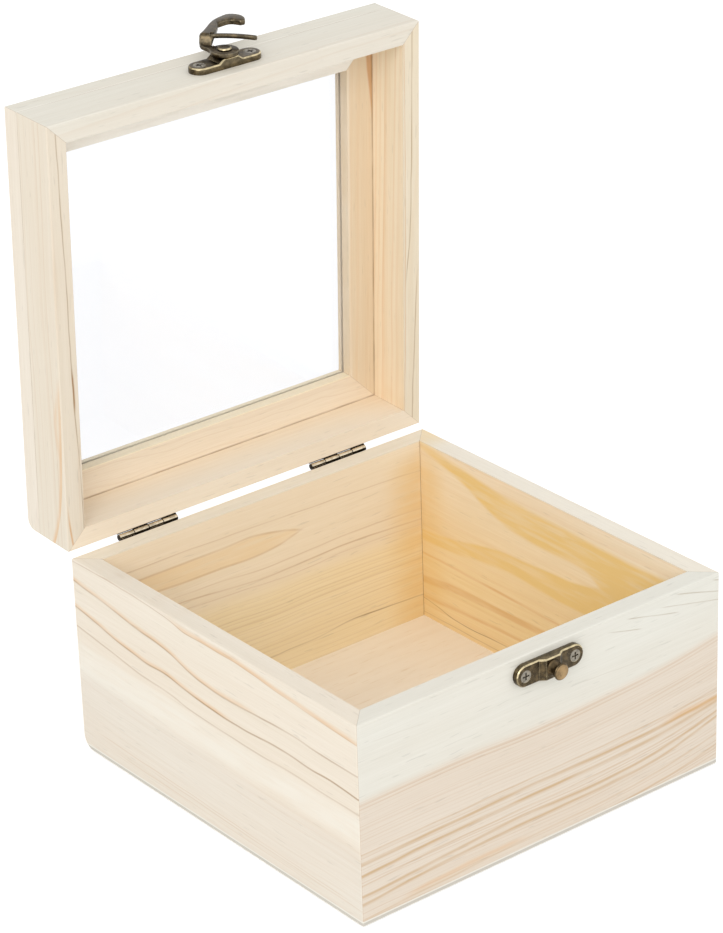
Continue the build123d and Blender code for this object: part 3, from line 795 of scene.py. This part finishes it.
# ---------------------------------------------------------------- operators
class CASE_OT_base_walls(bpy.types.Operator):
    """Give each mitred wall of the base its own board of sanded pine"""
    bl_idname = "case.base_walls"
    bl_label = "Base Walls"

    def execute(self, context):
        # Corner widens and darkens the mitre lines in the inner corners, as painted shade.
        dress_boards(BASE_WALLS, inward=(0, 0, -1), corner=0.6,
                     half_width=size_along("base_left_wall", RIGHT) / 2,
                     joint_level=OUT_OF_REACH, joint_under=OUT_OF_REACH)
        return {"FINISHED"}


class CASE_OT_lid_rails(bpy.types.Operator):
    """Give each rail of the lid its own board of sanded pine"""
    bl_idname = "case.lid_rails"
    bl_label = "Lid Rails"

    def execute(self, context):
        dress_boards(LID_RAILS, inward=(0, 0, -1),
                     half_width=size_along("lid_left_rail", RIGHT) / 2,
                     joint_level=-size_along("lid_back_rail", LID_TOP) / 2,
                     joint_under=OUT_OF_REACH)
        return {"FINISHED"}


class CASE_OT_window_frame(bpy.types.Operator):
    """Give each mitred member of the window frame its own strip of sanded pine"""
    bl_idname = "case.window_frame"
    bl_label = "Window Frame"

    def execute(self, context):
        half_width = size_along("window_frame_left", RIGHT) / 2
        dress_boards(WINDOW_FRAME, inward=(0, 1, 0), half_width=half_width,
                     joint_level=size_along("lid_left_rail", RIGHT) - half_width,
                     joint_under=-0.003)
        return {"FINISHED"}


class CASE_OT_bottom_panel(bpy.types.Operator):
    """Finish the thin plywood bottom, with its plies showing at the edge"""
    bl_idname = "case.bottom_panel"
    bl_label = "Bottom Panel"

    def execute(self, context):
        plywood = context.scene.plywood_settings
        low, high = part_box("base_bottom_panel")
        material, tree, shader = new_material("birch plywood")
        place = object_position(tree)
        flecks = step_between(noise(place, (120.0, 1400.0, 900.0), detail=1.0), 0.60, 0.78)
        streaks = noise(place, (14.0, 300.0, 300.0), detail=3.0, roughness=0.65)
        veneer = blend_colours(flecks * 0.5, linear(plywood.face), linear(plywood.fleck))
        veneer = blend_colours(step_between(streaks, 0.35, 0.75, 0.0, 0.18), veneer,
                               linear(plywood.fleck))
        axes = split_vector(place)
        thickness = high.z - low.z
        middle = maths("ABSOLUTE", axes["Z"] - (low.z + high.z) / 2)
        ply = step_between(middle, thickness * 0.30, thickness * 0.16)
        edge = blend_colours(ply * 0.9, linear(plywood.edge), linear(plywood.core))
        side = maths("MAXIMUM", maths("ABSOLUTE", axes["X"]),
                     maths("ABSOLUTE", axes["Y"]) + (high.x - high.y))
        colour = blend_colours(step_between(side, high.x - 0.0004, high.x - 0.0002), veneer, edge)
        finish_surface(shader, colour, streaks * 0.15 + 0.58, streaks, 0.2)
        shader.inputs["Specular IOR Level"].default_value = WOOD_SHINE
        dress("base_bottom_panel", material)
        return {"FINISHED"}


class CASE_OT_window_glass(bpy.types.Operator):
    """Make the window clear glass"""
    bl_idname = "case.window_glass"
    bl_label = "Window Glass"

    def execute(self, context):
        material, tree, shader = new_material("clear window glass")
        haze = noise(object_position(tree), 18.0, detail=3.0)
        feed(step_between(haze, 0.45, 0.85, 0.0, 0.03), shader.inputs["Roughness"])
        shader.inputs["Base Color"].default_value = linear(context.scene.glass_settings.tint)
        shader.inputs["Transmission Weight"].default_value = 1.0
        shader.inputs["IOR"].default_value = 1.5
        self.let_light_through(tree, shader)
        dress("window_glass", material)
        return {"FINISHED"}

    def let_light_through(self, tree, shader):
        """The lamps shine through the pane, so that its frame and the floor aren't in its shade."""
        path = tree.nodes.new("ShaderNodeLightPath")
        clear = tree.nodes.new("ShaderNodeBsdfTransparent")
        clear.inputs["Color"].default_value = (0.92, 0.92, 0.92, 1.0)
        pane = tree.nodes.new("ShaderNodeMixShader")
        tree.links.new(path.outputs["Is Shadow Ray"], pane.inputs["Fac"])
        tree.links.new(shader.outputs["BSDF"], pane.inputs[1])
        tree.links.new(clear.outputs["BSDF"], pane.inputs[2])
        show_surface(tree, pane.outputs["Shader"])


# Metal: the polish where it isn't plain brass, and how the copies are rounded, worn and painted
# with highlights. How squarely a face meets a direction is counted from 0 to 1, and so is its
# wear with its painted highlight.
# Silvery is partly rubbed metal and partly a painted glint on the latch screws' heads.
SILVERY = (0.93, 0.91, 0.86)
COPPERY = (0.84, 0.70, 0.51)
# Dull: the hook's rubbed edges, and its painted highlights on the side facing the light.
DULL_POLISH_AND_HIGHLIGHT = (0.74, 0.70, 0.60)
# Bright: rubbed hinge screws, and a painted highlight along the hinge barrels' tops.
BRIGHT_POLISH_AND_HIGHLIGHT = (0.97, 0.90, 0.78)
DARK_PATINA = (0.17, 0.14, 0.105)
METAL_RELIEF = 0.25
MERGE_WITHIN = 0.000002
FLAT_UNDER = 0.6            # degrees between faces that are dissolved into one
SHARP_OVER = 32             # degrees at an edge that is rounded
SMOOTH_UNDER = 34           # degrees at an edge that is shaded smooth
BEVEL_NARROWNESS = 0.0006   # a rounding is narrower than this, and a flat face is wider
BEVEL_FROM, BEVEL_TO = 0.25, 0.97   # how squarely a rounding meets the outward direction
BEVEL_LIT = 0.12            # a rounding that meets the bright side more squarely gets a painted highlight
SIDE_LIT = 0.5
ROUND_THE_BEND = 0.15       # faces that meet the bend's line less squarely turn about it
# Face attribute for rubbed wear and for painted highlights on the metal copies.
WEAR_AND_HIGHLIGHT = "worn"
SCUFFED = 0.1
# Painted sheen on flats that face the bright side.
LIT_SIDE_SHEEN = 0.12
DULL_BEVEL = 0.25
BARREL_REACH = 0.0013       # from a hinge's axis, just past its barrel
# The side of a hinge's barrel that gets a painted highlight.
BARREL_HIGHLIT_SIDE = Vector((0, -0.45, 0.89))


def bronze_material(name, polish=None, patina=None):
    """Aged bronze with its usual patina or the given one, rubbed through to brass or to polish,
    which also colours the painted highlights that the worn mask marks.
    """
    bronze = bpy.context.scene.bronze_settings
    material, tree, shader = new_material(name)
    attribute = tree.nodes.new("ShaderNodeAttribute")
    attribute.attribute_name = WEAR_AND_HIGHLIGHT
    metal = place_effect(tree, "Aged bronze", position=object_position(tree),
                         worn=Flow(attribute.outputs["Fac"]), wear=bronze.wear,
                         dark=linear(patina or bronze.dark), warm=linear(patina or bronze.warm),
                         brass=linear(polish or bronze.brass))
    finish_surface(shader, metal["Color"], metal["Roughness"], metal["Height"], METAL_RELIEF)
    shader.inputs["Metallic"].default_value = 1.0
    return material


def only(piece):
    """Selects one object and nothing else, ready for an operator."""
    bpy.ops.object.select_all(action="DESELECT")
    piece.select_set(True)
    bpy.context.view_layer.objects.active = piece


def rounded_copy(node, body, rounding, wear_and_highlight_of, material):
    """A merged copy of a carried-over part, its sharp edges rounded and its worn and highlit faces
    marked.

    wear_and_highlight_of takes a face and its narrowness, and returns how far it is worn and
    painted bright.
    """
    piece = bpy.data.objects.new(node + "_finish", frame["nodes"][node].data.copy())
    bpy.context.scene.collection.objects.link(piece)
    only(piece)
    bpy.ops.mesh.customdata_custom_splitnormals_clear()
    bpy.ops.object.mode_set(mode="EDIT")
    bpy.ops.mesh.select_mode(type="EDGE")
    bpy.ops.mesh.select_all(action="SELECT")
    bpy.ops.mesh.remove_doubles(threshold=MERGE_WITHIN)
    bpy.ops.mesh.dissolve_limited(angle_limit=math.radians(FLAT_UNDER))
    bpy.ops.mesh.select_all(action="DESELECT")
    bpy.ops.mesh.edges_select_sharp(sharpness=math.radians(SHARP_OVER))
    bpy.ops.mesh.bevel(offset=rounding, segments=2, profile=0.5, affect="EDGES",
                       clamp_overlap=False)
    bpy.ops.mesh.select_mode(type="FACE")
    bpy.ops.object.mode_set(mode="OBJECT")
    mesh = piece.data
    wear = mesh.attributes.new(WEAR_AND_HIGHLIGHT, "FLOAT", "FACE")
    for face, value in zip(mesh.polygons, wear.data):
        corners = [mesh.vertices[i].co for i in face.vertices]
        around = sum((a - b).length for a, b in zip(corners, corners[1:] + corners[:1]))
        value.value = wear_and_highlight_of(face, 2 * face.area / max(around, 1e-9))
    bpy.ops.object.shade_smooth_by_angle(angle=math.radians(SMOOTH_UNDER))
    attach(piece, body)
    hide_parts(node)
    mesh.materials.clear()
    mesh.materials.append(material)


def edges_worn_and_highlit(outward, bright, most=1.0, bend=None):
    """Bevels are rubbed, and those on the side that bright points to also get a painted highlight;
    flats stay dark, but for a faint painted sheen on the bright side.

    bend is the line about which a crank is bent: faces that turn about it aren't bevels.
    """
    def wear_and_highlight_of(face, narrowness):
        slant = face.normal.dot(outward)
        lit = face.normal.dot(bright)
        if bend is not None and abs(face.normal.dot(bend)) < ROUND_THE_BEND:
            return SCUFFED if slant < 0.8 else 0.0
        if BEVEL_FROM < slant < BEVEL_TO and narrowness < BEVEL_NARROWNESS:
            return most if lit > BEVEL_LIT else DULL_BEVEL
        return LIT_SIDE_SHEEN if lit > SIDE_LIT else 0.0
    return wear_and_highlight_of


def heads_worn_and_glinting(outward, most):
    """Screw heads and the peg's end shine where hands and tools have been, and their outward faces
    also carry a painted glint.
    """
    def wear_and_highlight_of(face, narrowness):
        return most if face.normal.dot(outward) > 0.9 else SCUFFED
    return wear_and_highlight_of


def barrel_top_highlit(face, narrowness):
    """Only the strip along the top of a hinge's barrel gets a painted highlight."""
    out = face.center - Vector(lid_joint["pos_m"])
    out.x = 0
    if abs(face.normal.x) > 0.1 or out.length > BARREL_REACH:
        return 0.0
    return 1.0 if face.normal.dot(BARREL_HIGHLIT_SIDE) > 0.80 else 0.0


def evenly_rubbed(face, narrowness):
    """The hinges' small screws are worn alike all over."""
    return 0.3


# The part, the body that carries it, its rounding, its wear and painted highlights and, on the
# latch, its polish.
LATCH = (
    ("hook_plate", "lid", 0.00012, edges_worn_and_highlit(LID_FRONT, -LID_TOP), None),
    ("hook_rivet", "lid", 0.00012, edges_worn_and_highlit(LID_FRONT, -LID_TOP), None),
    ("hook_plate_screws", "lid", 0.00006, heads_worn_and_glinting(LID_FRONT, 0.34), SILVERY),
    ("catch_plate", "base", 0.00012, edges_worn_and_highlit(FRONT, UP), None),
    ("catch_peg", "base", 0.00015, heads_worn_and_glinting(FRONT, 0.60), COPPERY),
    ("catch_plate_screws", "base", 0.00006, heads_worn_and_glinting(FRONT, 0.34), SILVERY),
)
HINGES = tuple((f"hinge_{side}_{part}", body, 0.00008, barrel_top_highlit)
               for part, body in (("base_leaf", "base"), ("lid_leaf", "lid"), ("pin", "base"))
               for side in ("left", "right")) + (
    ("hinge_base_screws", "base", 0.00005, evenly_rubbed),
    ("hinge_lid_screws", "lid", 0.00005, evenly_rubbed))


class CASE_OT_latch(bpy.types.Operator):
    """Round and age the latch plates, the rivet, the peg and their screws, and paint highlights"""
    bl_idname = "case.latch"
    bl_label = "Latch"

    def execute(self, context):
        materials = {None: bronze_material("antique bronze latch"),
                     SILVERY: bronze_material("antique bronze latch screws", SILVERY),
                     COPPERY: bronze_material("antique bronze peg", COPPERY)}
        for node, body, rounding, wear_and_highlight_of, polish in LATCH:
            rounded_copy(node, body, rounding, wear_and_highlight_of, materials[polish])
        return {"FINISHED"}


class CASE_OT_swing_hook(bpy.types.Operator):
    """Round and age the swing hook, rubbed along its edges and painted bright on the lit side"""
    bl_idname = "case.swing_hook"
    bl_label = "Swing Hook"

    def execute(self, context):
        axis = Vector(hook_joint["axis"]).normalized()
        swung = Matrix.Rotation(-math.radians(hook_joint["range_deg"][1]), 3, axis)
        rounded_copy("swing_hook", "hook", context.scene.bronze_settings.edge,
                     edges_worn_and_highlit(LID_FRONT, -LID_TOP, 0.35, swung @ RIGHT),
                     bronze_material("antique bronze hook", DULL_POLISH_AND_HIGHLIGHT))
        return {"FINISHED"}


class CASE_OT_hinges(bpy.types.Operator):
    """Round and age the hinges, and paint a highlight along the tops of their barrels"""
    bl_idname = "case.hinges"
    bl_label = "Hinges"

    def execute(self, context):
        material = bronze_material("antique bronze hinge", BRIGHT_POLISH_AND_HIGHLIGHT, DARK_PATINA)
        for node, body, rounding, wear_and_highlight_of in HINGES:
            rounded_copy(node, body, rounding, wear_and_highlight_of, material)
        return {"FINISHED"}


FLOOR_GAP = 0.0002          # the floor lies this far below the case
LAMP_AIM = Vector((0, 0, 0.08))
SENSOR_WIDTH = 36.0


class CASE_OT_stage(bpy.types.Operator):
    """Set up the white floor, the soft lamps and the camera"""
    bl_idname = "case.stage"
    bl_label = "Stage"

    def execute(self, context):
        scene = context.scene
        stage = scene.stage_settings
        scene.view_settings.view_transform = "Standard"
        self.build_floor(stage)
        self.build_world(scene, stage)
        self.add_lamp("key lamp", Vector((-1.42, -1.22, 1.25)), 1.4, stage.key_light)
        self.add_lamp("fill lamp", Vector((1.2, -1.6, 0.9)), 1.2, stage.fill_light)
        self.place_camera(scene)
        return {"FINISHED"}

    def build_floor(self, stage):
        bpy.ops.object.select_all(action="DESELECT")
        bpy.ops.mesh.primitive_plane_add(size=stage.floor_size, location=(0, 0, -FLOOR_GAP))
        floor = bpy.context.object
        floor.name = "studio_floor"
        bpy.ops.object.transform_apply(location=True, rotation=True, scale=True)
        material, tree, shader = new_material("white studio floor")
        shader.inputs["Base Color"].default_value = (0.88, 0.88, 0.88, 1.0)
        shader.inputs["Roughness"].default_value = 1.0
        shader.inputs["Specular IOR Level"].default_value = 0.0
        glow = tree.nodes.new("ShaderNodeEmission")
        glow.inputs["Color"].default_value = (1, 1, 1, 1)
        feed(self.seen_directly(tree) * stage.floor_glow, glow.inputs["Strength"])
        both = tree.nodes.new("ShaderNodeAddShader")
        tree.links.new(shader.outputs["BSDF"], both.inputs[0])
        tree.links.new(glow.outputs["Emission"], both.inputs[1])
        show_surface(tree, both.outputs["Shader"])
        floor.data.materials.append(material)

    def seen_directly(self, tree):
        """One for rays from the camera, reflections and glass, and nothing for the light itself."""
        ray = flows(tree.nodes.new("ShaderNodeLightPath").outputs)
        seen = maths("MAXIMUM", ray["Is Camera Ray"], ray["Is Glossy Ray"])
        return maths("MAXIMUM", seen, ray["Is Transmission Ray"])

    def build_world(self, scene, stage):
        world = bpy.data.worlds.new("studio")
        scene.world = world
        world.use_nodes = True
        tree = world.node_tree
        background = next(n for n in tree.nodes if n.type == "BACKGROUND")
        background.inputs["Color"].default_value = (1, 1, 1, 1)
        strength = self.seen_directly(tree) * (1.0 - stage.world_light) + stage.world_light
        feed(strength, background.inputs["Strength"])

    def add_lamp(self, name, place, size, power):
        lamp = bpy.data.lights.new(name, "AREA")
        lamp.shape = "SQUARE"
        lamp.size = size
        lamp.energy = power
        holder = bpy.data.objects.new(name, lamp)
        holder.location = place
        holder.rotation_euler = (place - LAMP_AIM).to_track_quat("Z", "Y").to_euler()
        bpy.context.scene.collection.objects.link(holder)

    def place_camera(self, scene):
        view = scene.camera_settings
        back = Vector((math.sin(view.azimuth) * math.cos(view.elevation),
                       -math.cos(view.azimuth) * math.cos(view.elevation),
                       math.sin(view.elevation)))
        side = UP.cross(back).normalized()
        top = back.cross(side)
        turned_side = math.cos(view.roll) * side + math.sin(view.roll) * top
        turned_top = math.cos(view.roll) * top - math.sin(view.roll) * side
        data = bpy.data.cameras.new("case camera")
        data.lens = view.lens
        data.sensor_width = SENSOR_WIDTH
        camera = bpy.data.objects.new("case camera", data)
        turn = Matrix((turned_side, turned_top, back)).transposed()
        camera.matrix_world = Matrix.Translation(
            Vector(view.target) + back * view.distance) @ turn.to_4x4()
        scene.collection.objects.link(camera)
        scene.camera = camera


OPERATORS = (CASE_OT_base_walls, CASE_OT_lid_rails, CASE_OT_window_frame, CASE_OT_bottom_panel,
             CASE_OT_window_glass, CASE_OT_latch, CASE_OT_swing_hook, CASE_OT_hinges,
             CASE_OT_stage)
SETTINGS = {
    "pine_settings": PineSettings, "plywood_settings": PlywoodSettings,
    "bronze_settings": BronzeSettings, "glass_settings": GlassSettings,
    "stage_settings": StageSettings, "camera_settings": CameraSettings,
}


class VIEW3D_PT_display_case(bpy.types.Panel):
    """Lists the case's pieces and their settings"""
    bl_idname = "VIEW3D_PT_display_case"
    bl_label = "Display Case"
    bl_space_type = "VIEW_3D"
    bl_region_type = "UI"
    bl_category = "Display Case"

    def draw(self, context):
        for operator in OPERATORS:
            self.layout.operator(operator.bl_idname)
        for name, settings in SETTINGS.items():
            box = self.layout.box()
            for setting in settings.__annotations__:
                box.prop(getattr(context.scene, name), setting)


def register():
    for settings in SETTINGS.values():
        bpy.utils.register_class(settings)
    for name, settings in SETTINGS.items():
        setattr(bpy.types.Scene, name, bpy.props.PointerProperty(type=settings))
    for operator in OPERATORS:
        bpy.utils.register_class(operator)
    bpy.utils.register_class(VIEW3D_PT_display_case)


def unregister():
    bpy.utils.unregister_class(VIEW3D_PT_display_case)
    for operator in reversed(OPERATORS):
        bpy.utils.unregister_class(operator)
    for name in SETTINGS:
        delattr(bpy.types.Scene, name)
    for settings in SETTINGS.values():
        bpy.utils.unregister_class(settings)


def main():
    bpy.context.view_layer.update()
    register()
    build_pine_grain()
    build_grain_and_light_band()
    build_seams_and_corner_shade()
    build_aged_bronze()
    bpy.ops.case.base_walls()
    bpy.ops.case.lid_rails()
    bpy.ops.case.window_frame()
    bpy.ops.case.bottom_panel()
    bpy.ops.case.window_glass()
    bpy.ops.case.latch()
    bpy.ops.case.swing_hook()
    bpy.ops.case.hinges()
    bpy.ops.case.stage()


if __name__ == "__main__":
    main()
